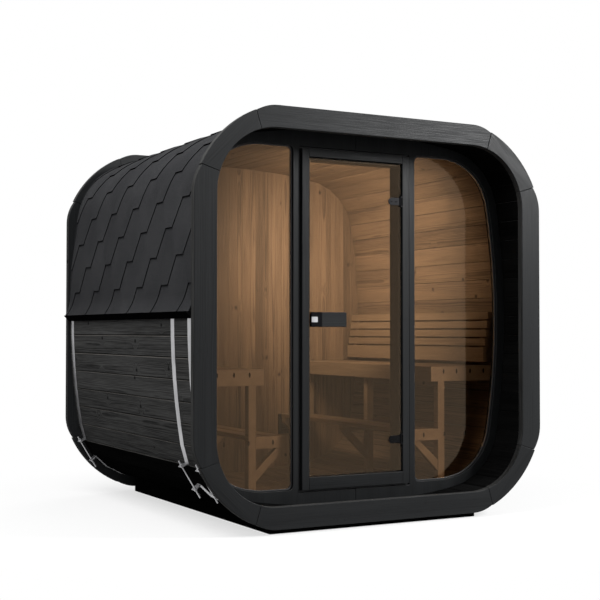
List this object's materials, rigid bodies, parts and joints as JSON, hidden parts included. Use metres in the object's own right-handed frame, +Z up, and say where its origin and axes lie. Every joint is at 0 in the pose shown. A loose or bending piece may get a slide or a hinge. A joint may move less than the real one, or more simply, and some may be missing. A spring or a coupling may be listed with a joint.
{
  "type": "cube sauna",
  "caption": "Cube sauna: staved shell in sectional end rings, steel bands, shingle roof, glazed front wall with a hinged glass door in a porch, and benches inside.",
  "frame": {"origin": "on the ground under the middle of the building", "axes": "+Z up, -Y towards the front with the door, +X to the right seen from the front"},
  "size_m": [2.1422, 1.97, 2.119],
  "materials": {
    "dark_wood": "charcoal stain",
    "natural_wood": "heat-treated, planed",
    "shingle": "granulated bitumen",
    "black_metal": "black",
    "black_base": "black stain",
    "stainless": "brushed",
    "bronze_glass": "bronze tint",
    "black_rubber": "matt",
    "hinge_metal": "dark"
  },
  "bodies": {
    "sauna": {"base_runners": "black_base", "base_cradles": "black_base", "floor_staves": "dark_wood", "lower_corner_staves_left": "dark_wood", "lower_corner_staves_right": "dark_wood", "left_wall_staves": "dark_wood", "right_wall_staves": "dark_wood", "upper_corner_staves_left": "dark_wood", "upper_corner_staves_right": "dark_wood", "roof_staves": "dark_wood", "front_ring_sides": "dark_wood", "front_ring_corners": "dark_wood", "front_ring_top": "dark_wood", "front_ring_bottom": "dark_wood", "back_ring_sides": "dark_wood", "back_ring_corners": "dark_wood", "back_ring_top": "dark_wood", "back_ring_bottom": "dark_wood", "roof_shingles": "shingle", "drip_edges": "black_metal", "band_front": "stainless", "band_middle": "stainless", "band_back": "stainless", "front_panel_left": "dark_wood", "front_panel_right": "dark_wood", "window_seals": "black_rubber", "left_window": "bronze_glass", "right_window": "bronze_glass", "door_packing": "black_rubber", "door_jamb_left": "dark_wood", "door_jamb_right": "dark_wood", "door_head": "dark_wood", "door_sill": "dark_wood", "door_hinge_brackets": "hinge_metal", "back_wall": "natural_wood", "vent_cover": "natural_wood", "bench_slats_left": "natural_wood", "bench_slats_right": "natural_wood", "bench_frame_left": "natural_wood", "bench_frame_right": "natural_wood", "backrest": "natural_wood"},
    "door": {"door_leaf": "bronze_glass", "door_hinge_clamps": "hinge_metal", "door_latch": "black_rubber", "door_handle": "dark_wood"}
  },
  "joints": [
    {"name": "door_hinge", "type": "hinge", "parent": "sauna", "child": "door", "pos_m": [0.2805, -0.745, 1.0605], "axis": [0, 0, 1], "range_deg": [0, 105]}
  ]
}
